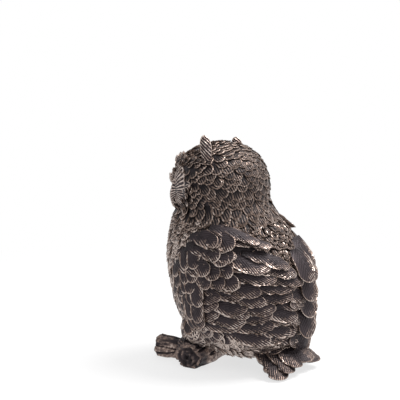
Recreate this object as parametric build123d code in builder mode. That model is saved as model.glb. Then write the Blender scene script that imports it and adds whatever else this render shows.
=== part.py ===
"""Perched owl figurine: separate cold-cast castings, keyed and glued together on a log.

The owl faces -Y, its left side is +X and +Z is up. Sizes are in millimetres.
The castings are laid out about the neck's axis, and everything is then moved
so that the origin is at the bottom centre of the whole figurine.
"""

import os
from math import cos, radians, sin

from build123d import *

# ---- Driving dimensions ------------------------------------------------------
log_length = 42.0
log_radius = 6.2
log_setback = -4.0  # the log's axis, in front of the neck's axis
log_flat = 1.2  # how deep the log's underside is sanded flat
stub_radius = 4.4
stub_reach = 20.6  # from the log's axis to the cut end of the side branch
stub_offset = 8.5
stub_angle = 8.0  # degrees, outwards from straight ahead
knot_radius = 2.3
knot_height = 1.6

body_height = 60.4
body_half_width = 26.5
body_half_depth = 28.0
belly_clearance = 6.4  # from the floor to the lowest feathers
thigh_radius = 7.8
thigh_spacing = 26.0
thigh_height = 15.5

wing_thickness = 3.2
wing_gap = 0.6  # between the two wings at the middle of the back

head_height = 27.0
head_half_width = 20.5
head_half_depth = 19.3
head_turn = 7.0  # degrees, towards the owl's left
face_reach = 22.2  # from the neck's axis to the front of the face
disc_radius = 9.5
eye_radius = 3.2
eye_spacing = 19.0
eye_height = 8.8  # above the head's lower edge
tuft_lengths = {"left_ear_tuft": 14.4, "right_ear_tuft": 10.6}  # hand-modelled, so not quite a pair
tuft_base = 13.2  # the width and thickness shares below are of this
tuft_spacing = 30.4  # between the roots, on the upper sides of the head
beak_length = 8.0
beak_radius = 2.9

toe_radius = 1.9
toe_spread = 4.4
toe_wrap = 78.0  # degrees round the log
claw_length = 4.6
palm_radius = 3.9
foot_spacing = 19.0

tail_length = 23.0
tail_half_width = 15.5
tail_half_thickness = 5.8
tail_root = 19.0  # how far behind the neck's axis the tail starts

key_radius = 6.0  # the neck's cast-on key, and the hollow for it in the head
key_height = 7.0
key_clearance = 0.1  # radial glue gap round the key
key_end_gap = 0.4  # glue space past its end

mesh_tolerance = 0.05  # for measuring the whole figurine

# ---- Places that follow from them --------------------------------------------
log_height = log_radius - log_flat
log_axis = Axis((0, log_setback, log_height), (1, 0, 0))
body_base = belly_clearance
neck_height = body_base + body_height
head_base = neck_height - 1.4
head_plane = Plane(
    origin=(0, 0, head_base),
    x_dir=(cos(radians(head_turn)), sin(radians(head_turn)), 0),
    z_dir=(0, 0, 1),
)

# Rows up the owl: height, width and depth shares, then the setback of the centre.
body_profile = (
    (0.00, 0.45, 0.48, 14.5),
    (0.09, 0.72, 0.74, 12.0),
    (0.21, 0.87, 0.88, 9.8),
    (0.36, 0.96, 0.96, 8.0),
    (0.54, 1.00, 1.00, 6.6),
    (0.71, 0.98, 0.94, 4.4),
    (0.85, 0.89, 0.83, 2.5),
    (0.95, 0.77, 0.74, 0.9),
    (1.00, 0.62, 0.60, 0.2),
)
head_profile = (
    (0.00, 0.90, 0.95, 0.0),
    (0.17, 1.00, 1.00, -0.4),
    (0.39, 1.02, 1.02, -0.6),
    (0.61, 0.95, 0.95, -0.8),
    (0.79, 0.78, 0.79, -0.8),
    (0.93, 0.48, 0.50, -0.6),
    (1.00, 0.16, 0.17, -0.5),
)
# The ridge that carries the brows and the beak: its setback is from face_reach.
ridge_profile = (
    (0.04, 0.24, 0.20, 2.8),
    (0.18, 0.36, 0.34, 0.6),
    (0.38, 0.42, 0.42, 0.0),
    (0.60, 0.40, 0.38, 3.4),
    (0.78, 0.26, 0.24, 8.0),
)
# Rows along the tail: distance and width shares, height of the middle, thickness share.
tail_profile = (
    (0.00, 0.50, 12.0, 0.78),
    (0.35, 0.85, 9.2, 0.94),
    (0.65, 1.00, 5.9, 1.02),
    (0.88, 0.86, 4.0, 0.75),
    (1.00, 0.50, 2.5, 0.46),
)
# The wing's edge seen from the side: setback behind the neck's axis, height over the body's base.
wing_edge = (
    (1.0, 17.0),
    (-1.5, 26.0),
    (-2.0, 36.0),
    (0.0, 45.5),
    (5.0, 51.5),
    (12.0, 54.5),
    (21.0, 53.5),
    (28.0, 48.5),
    (33.5, 40.5),
    (37.0, 33.5),
    (46.0, 26.5),
    (46.0, 9.0),
    (32.0, 7.0),
    (17.0, 8.5),
    (7.0, 12.0),
)


def ellipses(plane, height, half_width, half_depth, profile, forward=0.0, grow=0.0):
    """Stacks one ellipse per row above the plane, ready to be lofted."""
    sections = []
    for rise, width, depth, setback in profile:
        with BuildSketch(plane.offset(rise * height)) as section:
            with Locations((0, setback - forward)):
                Ellipse(width * half_width + grow, depth * half_depth + grow)
        sections.append(section.sketch)
    return sections


def circles(stations):
    """Draws one circle per station (place, direction, radius), ready to be lofted."""
    sections = []
    for place, direction, radius in stations:
        with BuildSketch(Plane(origin=place, z_dir=direction)) as section:
            Circle(radius)
        sections.append(section.sketch)
    return sections


# ---- Log, side branch and knots ----------------------------------------------
log_start = Plane(origin=(-log_length / 2, log_setback, log_height), z_dir=(1, 0, 0))
log_profile = ((0.0, 0.94), (0.18, 1.03), (0.45, 0.95), (0.75, 1.0), (1.0, 1.06))
with BuildPart() as log:
    for along, girth in log_profile:
        with BuildSketch(log_start.offset(along * log_length)):
            Circle(girth * log_radius)
    loft()
    with Locations((0, log_setback, 0)):
        Box(
            2 * log_length,
            4 * log_radius,
            4 * log_radius,
            align=(Align.CENTER, Align.CENTER, Align.MIN),
            mode=Mode.INTERSECT,
        )

stub_direction = Vector(sin(radians(stub_angle)), -cos(radians(stub_angle)), 0)
stub_height = stub_radius - log_flat / 2
stub_plane = Plane(origin=(stub_offset, log_setback, stub_height), z_dir=stub_direction)
with BuildPart() as stub:
    for along, girth in ((0.0, 1.1), (0.55, 0.95), (0.85, 1.0), (1.0, 1.08)):
        with BuildSketch(stub_plane.offset(along * stub_reach)):
            Circle(girth * stub_radius)
    loft()
    with Locations((0, log_setback, 0)):
        Box(
            4 * log_length,
            4 * stub_reach,
            4 * log_radius,
            align=(Align.CENTER, Align.CENTER, Align.MIN),
            mode=Mode.INTERSECT,
        )
    add(log.part, mode=Mode.SUBTRACT)

# Broken twigs: short tapered bosses on the log's front and top.
knot_places = ((-17.5, 50.0), (18.0, 20.0), (-0.5, 62.0))
with BuildPart() as knots:
    for along, lean in knot_places:
        outwards = Vector(0, -sin(radians(lean)), cos(radians(lean)))
        root = Vector(along, log_setback, log_height) + outwards * (0.8 * log_radius)
        with BuildSketch(Plane(origin=root, z_dir=outwards)) as knot_foot:
            Circle(knot_radius)
        extrude(amount=0.2 * log_radius + knot_height, taper=8)
    add(log.part, mode=Mode.SUBTRACT)
    add(stub.part, mode=Mode.SUBTRACT)

# ---- Feet: three toes over the log and a palm on top -------------------------
def toe_and_claw(across):
    """Wraps one toe round the front of the log and ends it in a claw."""
    ride_radius = log_radius + 0.55 * toe_radius
    top = Plane(origin=(across, log_setback, log_height), x_dir=(1, 0, 0), z_dir=(0, -1, 0))
    with BuildSketch(top) as cross_section:
        with Locations((0, ride_radius)):
            Circle(toe_radius)
    revolve(
        cross_section.sketch,
        axis=Axis((0, log_setback, log_height), (1, 0, 0)),
        revolution_arc=toe_wrap,
    )
    turn = radians(toe_wrap)
    tip = Vector(across, log_setback - ride_radius * sin(turn), log_height + ride_radius * cos(turn))
    along = Vector(0, -cos(turn), -sin(turn))
    inwards = Vector(0, sin(turn), -cos(turn))
    claw = (
        (tip - along * 0.3, along, 0.80 * toe_radius),
        (tip + along * 0.5 * claw_length + inwards * 0.1, along + inwards * 0.2, 0.5 * toe_radius),
        (tip + along * claw_length + inwards * 0.9, along + inwards * 0.6, 0.12 * toe_radius),
    )
    loft(circles(claw))


feet = {}
for name, side in (("left_foot", 1), ("right_foot", -1)):
    centre = side * foot_spacing / 2
    with BuildPart() as feet[name]:
        for spread in (-toe_spread, 0, toe_spread):
            toe_and_claw(centre + spread)
        with Locations((centre, log_setback, log_height + log_radius)):
            Sphere(palm_radius)
        add(log.part, mode=Mode.SUBTRACT)
        add(stub.part, mode=Mode.SUBTRACT)
        add(knots.part, mode=Mode.SUBTRACT)

# ---- Body --------------------------------------------------------------------
with BuildPart() as body:
    loft(ellipses(Plane.XY.offset(body_base), body_height, body_half_width, body_half_depth, body_profile))
    with Locations(
        (thigh_spacing / 2, log_setback + 2.0, thigh_height),
        (-thigh_spacing / 2, log_setback + 2.0, thigh_height),
    ):
        Sphere(thigh_radius)
    add(log.part, mode=Mode.SUBTRACT)
    for foot in feet.values():
        add(foot.part, mode=Mode.SUBTRACT)
    add(knots.part, mode=Mode.SUBTRACT)
    with Locations((0, 0, neck_height)):
        Cylinder(key_radius, key_height, align=(Align.CENTER, Align.CENTER, Align.MIN))

# ---- Head --------------------------------------------------------------------
def on_head(across, setback, rise):
    """Turns a place measured on the head into a place on the figurine."""
    return head_plane.from_local_coords((across, setback, rise))


def head_direction(across, setback, rise):
    """Turns a direction measured on the head into one on the figurine."""
    return on_head(across, setback, rise) - on_head(0, 0, 0)


eye_place = -(face_reach - 8.4)
eye_centres = {
    "left_eye": on_head(eye_spacing / 2, eye_place, eye_height),
    "right_eye": on_head(-eye_spacing / 2, eye_place, eye_height),
}
with BuildPart() as head:
    loft(ellipses(head_plane, head_height, head_half_width, head_half_depth, head_profile))
    loft(
        ellipses(
            head_plane,
            head_height,
            head_half_width,
            head_half_depth,
            ridge_profile,
            forward=face_reach - 0.42 * head_half_depth,
        )
    )
    with Locations(
        on_head(0.56 * eye_spacing, -face_reach - 2.2, eye_height),
        on_head(-0.56 * eye_spacing, -face_reach - 2.2, eye_height),
    ):
        Sphere(disc_radius, mode=Mode.SUBTRACT)
    with Locations(*eye_centres.values()):
        Sphere(eye_radius, mode=Mode.SUBTRACT)
    add(body.part, mode=Mode.SUBTRACT)
    with Locations((0, 0, neck_height)):
        Cylinder(
            key_radius + key_clearance,
            key_height + key_end_gap,
            align=(Align.CENTER, Align.CENTER, Align.MIN),
            mode=Mode.SUBTRACT,
        )

# ---- Beak and eyes -----------------------------------------------------------
beak_top = -face_reach + 2.4
with BuildPart() as beak:
    hook = (
        (on_head(0, beak_top + 1.5, eye_height + 0.6), head_direction(0, -1, -0.35), beak_radius),
        (on_head(0, beak_top - 1.2, eye_height - 0.8), head_direction(0, -1, -0.9), 0.86 * beak_radius),
        (on_head(0, beak_top - 2.8, eye_height - 3.6), head_direction(0, -0.3, -1), 0.52 * beak_radius),
        (
            on_head(0, beak_top - 2.5, eye_height - beak_length + 1.6),
            head_direction(0, 0.35, -1),
            0.1 * beak_radius,
        ),
    )
    loft(circles(hook))
    add(head.part, mode=Mode.SUBTRACT)

eyes = {}
for name, centre in eye_centres.items():
    with BuildPart() as eyes[name]:
        with Locations(centre):
            Sphere(eye_radius)
        add(beak.part, mode=Mode.SUBTRACT)

# ---- Ear tufts ---------------------------------------------------------------
tuft_profile = ((0.00, 0.15, 0.30), (0.35, 0.155, 0.29), (0.70, 0.11, 0.21), (1.00, 0.03, 0.05))
tufts = {}
for name, tuft_length in tuft_lengths.items():
    side = 1 if name.startswith("left") else -1
    root = on_head(side * tuft_spacing / 2, 0.4, 0.61 * head_height)
    tuft_plane = Plane(origin=root, x_dir=head_direction(1, 0, 0), z_dir=head_direction(0, -0.10, 1))
    with BuildPart() as tufts[name]:
        for along, thick, wide in tuft_profile:
            with BuildSketch(tuft_plane.offset(along * tuft_length)):
                Ellipse(thick * tuft_base, wide * tuft_base)
        loft()
        add(head.part, mode=Mode.SUBTRACT)

# ---- Wings -------------------------------------------------------------------
wings = {}
for name, side in (("left_wing", 1), ("right_wing", -1)):
    with BuildPart() as wings[name]:
        loft(
            ellipses(
                Plane.XY.offset(body_base),
                body_height,
                body_half_width,
                body_half_depth,
                body_profile,
                grow=wing_thickness,
            )
        )
        with BuildSketch(Plane.YZ.offset(side * wing_gap / 2)):
            with BuildLine():
                Spline(*[(y, body_base + rise) for y, rise in wing_edge], periodic=True)
            make_face()
        extrude(amount=side * 2 * body_half_width, mode=Mode.INTERSECT)
        add(body.part, mode=Mode.SUBTRACT)
        add(log.part, mode=Mode.SUBTRACT)

# ---- Tail --------------------------------------------------------------------
tail_plane = Plane(origin=(0, tail_root, 0), x_dir=(-1, 0, 0), z_dir=(0, 1, 0))
with BuildPart() as tail:
    for along, width, rise, thickness in tail_profile:
        with BuildSketch(tail_plane.offset(along * tail_length)):
            with Locations((0, rise)):
                Ellipse(width * tail_half_width, thickness * tail_half_thickness)
    loft()
    with Locations((0, tail_root, 0)):
        Box(
            4 * tail_half_width,
            4 * tail_length,
            4 * tail_length,
            align=(Align.CENTER, Align.CENTER, Align.MIN),
            mode=Mode.INTERSECT,
        )
    add(body.part, mode=Mode.SUBTRACT)
    for wing in wings.values():
        add(wing.part, mode=Mode.SUBTRACT)

# ---- Export about the bottom centre of the whole figurine --------------------
pieces = {
    "log_perch": log,
    "side_branch": stub,
    "log_knots": knots,
    "body_casting": body,
    "head_casting": head,
    "beak": beak,
    "tail_fan": tail,
    **feet,
    **eyes,
    **tufts,
    **wings,
}


def middle(values):
    """Returns the value halfway between the smallest and the largest."""
    return (min(values) + max(values)) / 2


surface_points, _ = Compound([piece.part for piece in pieces.values()]).tessellate(mesh_tolerance)
to_centre = Location((0, -middle([point.Y for point in surface_points]), 0))
os.makedirs("parts", exist_ok=True)
for label, piece in pieces.items():
    placed = piece.part.moved(to_centre)
    placed.label = label
    export_step(placed, f"parts/{label}.step")
print("pieces", len(pieces), "moved by", to_centre.position)
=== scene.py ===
import itertools
import math

import bpy
import numpy as np
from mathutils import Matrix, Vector
from mathutils.bvhtree import BVHTree


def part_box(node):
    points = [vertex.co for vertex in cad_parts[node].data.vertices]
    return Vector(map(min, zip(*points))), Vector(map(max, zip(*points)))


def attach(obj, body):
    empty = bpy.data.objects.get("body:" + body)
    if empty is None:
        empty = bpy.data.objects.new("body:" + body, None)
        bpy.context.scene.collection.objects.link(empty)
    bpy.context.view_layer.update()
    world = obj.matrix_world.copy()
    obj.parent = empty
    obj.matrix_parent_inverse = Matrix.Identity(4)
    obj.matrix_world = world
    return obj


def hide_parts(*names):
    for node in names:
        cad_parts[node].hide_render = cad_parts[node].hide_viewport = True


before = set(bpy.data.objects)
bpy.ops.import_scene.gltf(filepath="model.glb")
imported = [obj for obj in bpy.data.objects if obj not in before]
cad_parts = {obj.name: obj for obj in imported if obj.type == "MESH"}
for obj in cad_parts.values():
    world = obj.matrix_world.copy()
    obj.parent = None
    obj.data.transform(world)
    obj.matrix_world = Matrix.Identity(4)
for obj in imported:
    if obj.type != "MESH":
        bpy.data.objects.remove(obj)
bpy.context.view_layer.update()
mm = 0.001
upward = np.array((0, 0, 1.0))
sides = (("left", 1), ("right", -1))  # the sign is the side's way along x


# arrays and noise
def unit(v):
    # v divided by its own length
    return v / np.maximum(np.linalg.norm(v, axis=-1, keepdims=True), 1e-12)


def ease(x):
    # three x squared less two x cubed, with x kept between 0 and 1
    x = np.clip(x, 0, 1)
    return x * x * (3 - 2 * x)


def blend(a, b, x):
    # from a to b as x goes from 0 to 1
    return a + (b - a) * x


def latticeNoise(points, size, seed):
    # A number from -1 to 1 at each corner of a lattice of this size, blended in between by eased steps: the
    # fraction of a large multiple of the sine of the corner's weighted sum.
    place = points / size
    cell = np.floor(place)
    share = ease(place - cell)
    total = 0
    for corner in itertools.product((0, 1), repeat=3):
        mix = np.prod(np.where(corner, share, 1 - share), axis=-1)
        wave = np.sin((cell + corner) @ np.array((12.9898, 78.233, 37.719)) + 4.7 * seed) * 43758.5453
        total = total + mix * (wave - np.floor(wave))
    return 2 * total - 1


def meshObject(name, points, faceGroups, values=None):
    # points is (n, 3) in metres; each face group is an (m, k) array of corners with a flag for smooth shading
    mesh = bpy.data.meshes.new(name)
    corners = [group.reshape(-1) for group, _ in faceGroups]
    counts = np.concatenate([np.full(len(group), group.shape[1]) for group, _ in faceGroups])
    sharp = np.concatenate([np.full(len(group), not rounded) for group, rounded in faceGroups])
    mesh.vertices.add(len(points))
    mesh.vertices.foreach_set("co", np.ascontiguousarray(points, np.float32).ravel())
    mesh.loops.add(int(counts.sum()))
    mesh.loops.foreach_set("vertex_index", np.concatenate(corners).astype(np.int32))
    mesh.polygons.add(len(counts))
    starts = np.concatenate(([0], np.cumsum(counts)[:-1])).astype(np.int32)
    mesh.polygons.foreach_set("loop_start", starts)
    mesh.update(calc_edges=True)
    mesh.polygons.foreach_set("use_smooth", ~sharp)
    for key, numbers in (values or {}).items():
        data = mesh.attributes.new(key, "FLOAT", "POINT").data
        data.foreach_set("value", numbers.astype(np.float32).ravel())
    made = bpy.data.objects.new(name, mesh)
    bpy.context.collection.objects.link(made)
    return made


def gridFaces(rows, columns, closed=False):
    # quads of a grid stored row by row; closed joins the last column to the first
    across = columns if closed else columns - 1
    r, c = np.meshgrid(np.arange(rows - 1), np.arange(across), indexing="ij")
    n = (c + 1) % columns
    quads = np.stack((r * columns + c, (r + 1) * columns + c, (r + 1) * columns + n, r * columns + n), -1)
    return quads.reshape(-1, 4)


def gridBorder(rows, columns):
    # the points of a grid's edge, followed once round
    index = np.arange(rows * columns).reshape(rows, columns)
    return np.concatenate((index[0, :-1], index[:-1, -1], index[-1, :0:-1], index[:0:-1, 0]))


def fullTurn(count):
    # equal steps of angle, once round
    return np.linspace(0, 2 * np.pi, count, endpoint=False)


def tubeFaces(rows, columns):
    # a grid closed round its columns, stored after one pole and before the other, faces outwards
    quads = gridFaces(rows, columns, True)[:, ::-1] + 1
    c = np.arange(columns)
    n = (c + 1) % columns
    last = rows * columns + 1
    start = np.stack((0 * c, n + 1, c + 1), -1)
    end = np.stack((0 * c + last, (rows - 1) * columns + c + 1, (rows - 1) * columns + n + 1), -1)
    return [(quads, True), (start, True), (end, True)]


def tube(grid, values):
    # a closed tube from rows of points round it; its poles are the middles of the first and last rows
    rows, columns = grid.shape[:2]
    points = np.concatenate((grid[0].mean(0)[None], grid.reshape(-1, 3), grid[-1].mean(0)[None]))
    padded = {}
    for key, numbers in values.items():
        numbers = np.broadcast_to(numbers, (rows, columns))
        padded[key] = np.concatenate((numbers[0].mean()[None], numbers.ravel(), numbers[-1].mean()[None]))
    return points, tubeFaces(rows, columns), padded


def ringed(path, sideways, wide, high, columns):
    # an ellipse of half widths wide and high round each point of a path; sideways is near its wide axis
    along = unit(np.gradient(path, axis=0))
    side = unit(sideways - along * np.sum(sideways * along, -1, keepdims=True))
    up = np.cross(along, side)
    turn = fullTurn(columns)[None, :, None]
    wide = np.reshape(wide, (len(path), -1, 1))
    high = np.reshape(high, (len(path), -1, 1))
    out = side[:, None] * np.cos(turn) * wide + up[:, None] * np.sin(turn) * high
    return path[:, None] + out, turn[..., 0]


# the outsides of the castings
class Form:
    # CAD nodes seen from a point inside them: how far their outside is, over azimuth and elevation
    columns = 200
    rows = 101
    outside = 0.2  # rays come in from this far
    missed = 0.18  # how far one goes that meets nothing
    firstGuess = 0.026

    def __init__(self, nodes, centre, filling=0):
        corners, faces = [], []
        for node in nodes:
            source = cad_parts[node].data
            faces += [[corner + len(corners) for corner in p.vertices] for p in source.polygons]
            corners += [v.co for v in source.vertices]
        tree = BVHTree.FromPolygons(corners, faces)
        self.centre = np.array(centre)
        azimuth = np.linspace(-np.pi, np.pi, self.columns, endpoint=False)
        elevation = np.linspace(-np.pi / 2, np.pi / 2, self.rows)
        e, a = np.meshgrid(elevation, azimuth, indexing="ij")
        rays = np.stack((np.cos(e) * np.cos(a), np.cos(e) * np.sin(a), np.sin(e)), -1)
        start = Vector(centre)
        ways = [Vector(ray) for ray in rays.reshape(-1, 3)]
        hits = [tree.ray_cast(start + way * self.outside, -way)[3] for way in ways]
        far = np.array([self.missed if hit is None else hit for hit in hits])
        self.reach = self.outside - far.reshape(e.shape)
        for _ in range(filling):
            # grooves fill up to the mean of what is above and below them
            between = (self.reach[:-2] + self.reach[2:]) / 2
            self.reach[1:-1] = np.maximum(self.reach[1:-1], between)
        for _ in range(2):
            ring = (np.roll(self.reach, 1, 1) + np.roll(self.reach, -1, 1)) / 2
            self.reach = blend(self.reach, ring, 0.5)
        skin = self.centre + rays * self.reach[..., None]
        alongA = np.roll(skin, -1, 1) - np.roll(skin, 1, 1)
        alongE = np.gradient(skin, axis=0)
        facing = np.cross(alongA, alongE)
        facing[0], facing[-1] = (0, 0, -1), (0, 0, 1)
        self.facing = unit(facing)

    def look(self, table, points):
        # the table's value in the direction of each point, blended between its four nearest entries
        away = points - self.centre
        a = (np.arctan2(away[..., 1], away[..., 0]) + np.pi) / (2 * np.pi) * self.columns
        e = (np.arcsin(np.clip(unit(away)[..., 2], -1, 1)) / np.pi + 0.5) * (self.rows - 1)
        a0 = np.floor(a).astype(int)
        e0 = np.clip(np.floor(e).astype(int), 0, self.rows - 2)
        fa, fe = a - a0, e - e0
        if table.ndim == 3:
            fa, fe = fa[..., None], fe[..., None]
        low = blend(table[e0, a0 % self.columns], table[e0, (a0 + 1) % self.columns], fa)
        high = blend(table[e0 + 1, a0 % self.columns], table[e0 + 1, (a0 + 1) % self.columns], fa)
        return blend(low, high, fe)

    def skin(self, points):
        # each point pulled along its line from the centre to the outside
        return self.centre + unit(points - self.centre) * self.look(self.reach, points)[..., None]

    def normal(self, points):
        return unit(self.look(self.facing, points))

    def at(self, angle, height):
        # the place on the outside at an angle round from straight ahead and a height over the floor
        ahead = np.stack((np.sin(angle), -np.cos(angle), 0 * angle), -1)
        guess = ahead * self.firstGuess + self.centre
        guess[..., 2] = height
        for _ in range(6):
            found = self.skin(guess)
            guess[..., 2] += height - found[..., 2]
            flat = np.linalg.norm(found[..., :2] - self.centre[:2], axis=-1, keepdims=True)
            guess[..., :2] = self.centre[:2] + unit(guess[..., :2] - self.centre[:2]) * flat
        return self.skin(guess)

    def spread(self, gap, rng):
        # evenly spaced places: equal steps in height, a golden-angle turn between them, then a small jitter
        radius = np.median(self.reach)
        count = int(4 * np.pi * radius**2 / (0.87 * gap**2))
        k = np.arange(count) + 0.5
        z = 1 - 2 * k / count
        turn = k * np.pi * (3 - math.sqrt(5))
        flat = np.sqrt(1 - z * z)
        ray = np.stack((flat * np.cos(turn), flat * np.sin(turn), z), -1)
        ray = unit(ray + rng.normal(0, 0.12 * gap / radius, ray.shape))
        return self.skin(self.centre + ray * radius)


class Roof:
    # a falling, arched sheet with the same methods: its height is the ridge's, less the way back to the power
    # 1.5 and less the square of the way out from the middle
    def __init__(self, high, start, long, drop, arch):
        self.high, self.start, self.long, self.drop, self.arch = high, start, long, drop, arch
        self.centre = np.array((0.0, start, -0.4))

    def skin(self, points):
        back = np.maximum(points[..., 1] - self.start, 0) / self.long
        height = self.high - self.drop * back**1.5 - points[..., 0] ** 2 / self.arch
        return np.stack((points[..., 0], points[..., 1], height), -1)

    def normal(self, points):
        back = np.maximum(points[..., 1] - self.start, 0) / self.long
        slope = 1.5 * self.drop * np.sqrt(back) / self.long
        return unit(np.stack((2 * points[..., 0] / self.arch, slope, 1 + 0 * slope), -1))


def slab(form, outline, top, bottom):
    # A closed sheet over a form: rows of points between two edges, raised by top in the middle and falling to
    # bottom at the border as a square root, and a second layer a little under bottom.
    rows, columns = outline.shape[:2]
    skin = form.skin(outline)
    out = form.normal(skin)
    u = np.linspace(-1, 1, rows)[:, None]
    v = np.linspace(-1, 1, columns)[None]
    edge = np.sqrt(np.clip((1 - np.abs(u)) * (1 - np.abs(v)) * 12, 0, 1))
    upper = skin + out * (bottom + (top - bottom) * edge)[..., None]
    lower = skin + out * (bottom - 0.2 * mm)
    border = gridBorder(rows, columns)
    after = np.roll(border, -1)
    count = rows * columns
    quads = gridFaces(rows, columns)
    skirt = np.stack((border, after, after + count, border + count), -1)
    turned = np.cross(skin[1, 0] - skin[0, 0], skin[0, 1] - skin[0, 0]) @ out[0, 0] < 0
    groups = [(quads, True), (quads[:, ::-1] + count, True), (skirt, False)]
    if turned:
        groups = [(faces[:, ::-1], rounded) for faces, rounded in groups]
    flat = np.zeros(2 * count)
    # the sheet shows only in gaps under the feathers; its hollow value darkens it as patina and as painted
    # shade
    values = {"rim": flat, "hollow": flat + 0.75, "barb": flat, "tip": flat, "chance": flat + 0.3}
    return np.concatenate((upper.reshape(-1, 3), lower.reshape(-1, 3))), groups, values


# feathers
def feathers(name, form, roots, aims, shape, seed, riseOver=0.0):
    # Each feather is a grid of u from root to tip and v across, laid on the form's outside. Along it, s is u
    # times the length that is left at v under a rounded tip; across it, t is v times the half width times a
    # taper, swept to one side by u squared. It stands over the outside by a slope along u and a tilt along v,
    # less a camber in v squared, plus a curl near the tip, a raised shaft and the barbs' ridges, less clefts.
    # Its values: rim falls as an exponential of the distance to the edge, hollow is high at the root, in
    # clefts and on the underside, as patina and as painted shade where other feathers cover it, barb counts
    # the barbs, tip is how much of a stroke shows, weaker on the upper half as a painted shadow of the row
    # above, chance is one number for each feather.
    rng = np.random.default_rng(seed)
    n = len(roots)
    rows, columns = shape["grid"]
    u = np.linspace(0, 1, rows)[None, :, None]
    v = np.sin(np.linspace(-1, 1, columns) * np.pi / 2)[None, None, :]

    def varied(key, spread=0.12):
        return (np.broadcast_to(shape[key], n) * (1 + spread * rng.uniform(-1, 1, n)))[:, None, None]

    length, width = varied("length"), varied("width")
    side = np.broadcast_to(shape.get("side", 1.0), n)[:, None, None]
    tipRound = shape["tipRound"] * width / 2
    ragged = shape.get("ragged", 0.0) * width * np.sin(v * 9 + rng.uniform(0, 6, (n, 1, 1)))
    left = length - tipRound * (1 - np.sqrt(np.maximum(1 - v * v, 0))) + ragged
    s = u * left
    taper = blend(shape["rootWidth"], 1, ease(u / shape["widestAt"]))
    t = v * width / 2 * taper
    barb = s - shape["barbSlant"] * np.abs(t) * (1 + 0.3 * u)

    cleft = np.zeros((n, rows, columns))
    lip = np.zeros((n, rows, columns))
    notch = np.zeros((n, rows, columns))
    for k in range(shape.get("clefts", 0)):
        where = (0.22 + 0.62 * (k + rng.uniform(0.2, 0.8, (n, 1, 1))) / shape["clefts"]) * length
        start = rng.uniform(0.1, 0.55, (n, 1, 1))
        inward = np.clip((v * side * rng.choice((1, 1, 1, -1), (n, 1, 1)) - start) / (1 - start), 0, 1)
        half = shape["cleftWidth"] * inward
        gap = np.abs(barb - where + shape["barbSlant"] * width * 0.3)
        cleft = np.maximum(cleft, ease((half - gap) / (0.25 * mm) + 0.5) * (inward > 0))
        lip = np.maximum(lip, np.exp(-(((gap - half) / (0.32 * mm)) ** 2)) * (inward > 0))
        notch = np.maximum(notch, np.exp(-((gap / (0.9 * mm)) ** 2)) * inward)
    t = t * (1 - 0.26 * notch * np.abs(v) ** 3)
    t = t + shape.get("sweep", 0.0) * side * u * u

    lift = blend(-shape["sink"], shape["slope"], u) + shape.get("tilt", 0.0) * side * v
    lift = lift - shape["camber"] * v * v * (0.4 + 0.6 * u)
    lift = lift + varied("curl", 0.5) * ease((u - 0.55) / 0.45) ** 2
    lift = lift + shape["shaft"] * np.exp(-((v * width / 2 * taper / (0.28 * mm)) ** 2)) * (1 - u**3)
    ridges = 0.5 + 0.5 * np.cos(2 * np.pi * barb / shape["barbGap"])
    lift = lift + shape.get("ridge", 0.0) * (ridges - 0.5) * np.clip(np.abs(v) * 3, 0, 1)
    lift = lift - shape.get("cleftDepth", 0.7 * mm) * cleft + riseOver

    up = form.normal(roots)
    aims = unit(aims - up * np.sum(aims * up, -1, keepdims=True))
    across = np.cross(up, aims)
    bend = np.linalg.norm(roots - form.centre, axis=-1)[:, None, None]
    reachS = bend * np.tan(np.clip(s / bend, -1.1, 1.1))
    reachT = bend * np.tan(np.clip(t / bend, -1.1, 1.1))
    flat = roots[:, None, None] + aims[:, None, None] * reachS[..., None]
    flat = flat + across[:, None, None] * reachT[..., None]
    skin = form.skin(flat)
    out = form.normal(skin)
    top = skin + out * lift[..., None]

    away = np.minimum((1 - np.abs(v)) * width / 2 * taper, (left - s) * 0.9)
    rim = np.exp(-away / shape["rim"])
    rim = rim * (0.35 + 0.65 * ease((u - 0.2) / 0.4))
    rim = np.maximum(rim * (1 - cleft), lip * 0.8 * (1 - cleft))
    inwards = np.maximum(np.abs(v), (u - 0.5) / 0.5)
    openness = ease(u / shape.get("bare", 0.28)) * (0.7 + 0.3 * ease((inwards - 0.2) / 0.6))
    # how much of a stroke shows, weaker on the upper half of the feather as a painted shadow of the row above
    strokesShadedAbove = ease((inwards - 0.3) / 0.55) * ease(u / 0.35) * (0.6 + 0.4 * np.sign(v * side))
    values = {
        "rim": rim,
        # hollow is patina in the hollows and painted shade where the feather is covered
        "hollow": np.maximum(0.65 * (1 - openness), cleft),
        "barb": barb / shape["barbGap"] + rng.uniform(0, 1, (n, 1, 1)),
        "tip": strokesShadedAbove,
        "chance": np.broadcast_to(rng.uniform(0, 1, (n, 1, 1)), top.shape[:3]),
    }

    # the border of the grid is copied below to make a closed piece
    border = gridBorder(rows, columns)
    count, k = rows * columns, len(border)
    under = top.reshape(n, -1, 3)[:, border] - out.reshape(n, -1, 3)[:, border] * shape["thick"]
    under = blend(under, under.mean(1, keepdims=True), 0.08)
    points = np.concatenate((top.reshape(n, -1, 3), under), 1)
    edge = np.arange(k)
    after = (edge + 1) % k
    skirt = np.stack((border, border[after], count + after, count + edge), -1)
    bottom = (count + edge)[None]
    step = (np.arange(n) * (count + k))[:, None, None]
    groups = [
        ((gridFaces(rows, columns)[None] + step).reshape(-1, 4), True),
        ((skirt[None] + step).reshape(-1, 4), False),
        ((bottom[None] + step).reshape(-1, k), False),
    ]
    allValues = {}
    for key, numbers in values.items():
        numbers = np.broadcast_to(numbers, top.shape[:3]).reshape(n, -1)
        allValues[key] = np.concatenate((numbers, numbers[:, border]), 1)
    # the underside is fully dark: painted shade under the feather, as well as patina
    allValues["hollow"][:, count:] = 1
    print("feathers", name, n, "faces", sum(len(g) for g, _ in groups))
    return points.reshape(-1, 3), groups, allValues


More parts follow.
